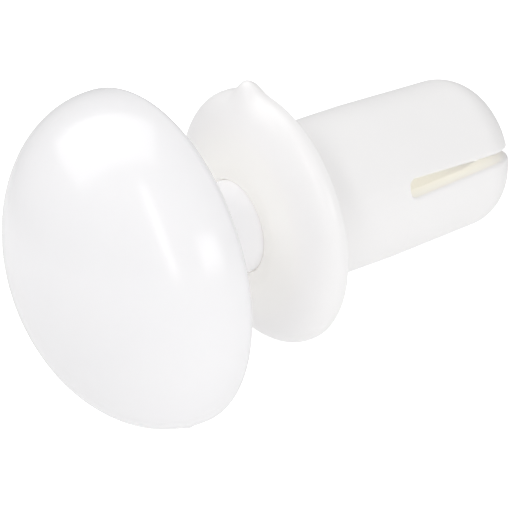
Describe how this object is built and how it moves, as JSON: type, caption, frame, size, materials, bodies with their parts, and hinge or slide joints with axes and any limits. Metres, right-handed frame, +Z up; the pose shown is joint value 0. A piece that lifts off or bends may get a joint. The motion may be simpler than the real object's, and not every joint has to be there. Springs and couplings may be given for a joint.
{
  "type": "nylon expansion anchor",
  "caption": "Push-in panel anchor: a button-headed plunger slides through a flanged, split sleeve and spreads its legs behind the panel.",
  "frame": {"origin": "centre of the flange's seating face, where the shank meets it", "axes": "+Y along the shank into the hole, +Z up through the gate mark and the upper leg, slot in the XY plane"},
  "size_m": [0.0104, 0.0165, 0.0104],
  "materials": {
    "plunger_nylon": "natural white nylon, glossy, slightly translucent",
    "sleeve_nylon": "natural white nylon, semi-gloss, slightly translucent"
  },
  "bodies": {
    "sleeve": {"sleeve_body": "sleeve_nylon"},
    "plunger": {"plunger_head": "plunger_nylon", "plunger_pin": "plunger_nylon"},
    "upper_leg": {"leg_upper": "sleeve_nylon"},
    "lower_leg": {"leg_lower": "sleeve_nylon"}
  },
  "joints": [
    {"name": "plunger_slide", "type": "slide", "parent": "sleeve", "child": "plunger", "axis": [0, 1, 0], "range_m": [0, 0.0042]},
    {"name": "upper_leg_flex", "type": "hinge", "parent": "sleeve", "child": "upper_leg", "pos_m": [0, 0.0036, 0.00248], "axis": [1, 0, 0], "range_deg": [0, 9]},
    {"name": "lower_leg_flex", "type": "hinge", "parent": "sleeve", "child": "lower_leg", "pos_m": [0, 0.0036, -0.00248], "axis": [-1, 0, 0], "range_deg": [0, 9]}
  ],
  "couplings": [
    {"joint": "upper_leg_flex", "follows": "plunger_slide", "rad_per_m": 37.39},
    {"joint": "lower_leg_flex", "follows": "plunger_slide", "rad_per_m": 37.39}
  ]
}
